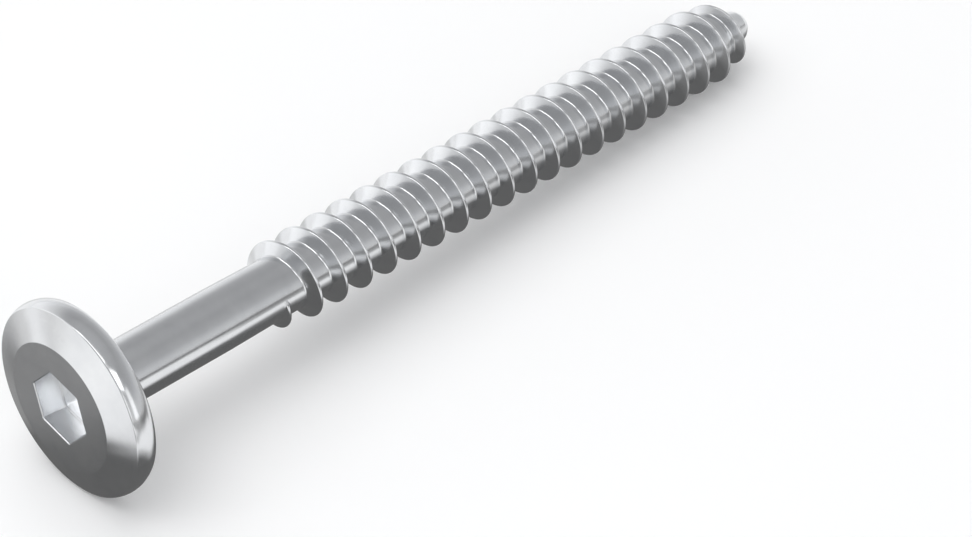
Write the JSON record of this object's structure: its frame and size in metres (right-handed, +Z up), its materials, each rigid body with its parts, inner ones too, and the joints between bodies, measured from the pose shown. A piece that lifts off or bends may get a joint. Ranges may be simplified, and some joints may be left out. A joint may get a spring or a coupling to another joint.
{
  "type": "furniture connector screw",
  "caption": "Steel furniture connector screw with a wide flat bevelled head, hexagon socket, conical shoulder, plain shank and coarse wood thread with a blunt point.",
  "frame": {"origin": "on the ground under the middle of the lying screw's outline", "axes": "+X runs along the screw from head to point, +Y across it, +Z up; the screw's own axis lies in the XZ plane, its point lower than its head"},
  "size_m": [0.076, 0.0158, 0.0158],
  "materials": {
    "plated_steel": "bright plated steel, smooth rolled and turned surfaces"
  },
  "bodies": {
    "root": {"connector_screw": "plated_steel"}
  },
  "joints": []
}
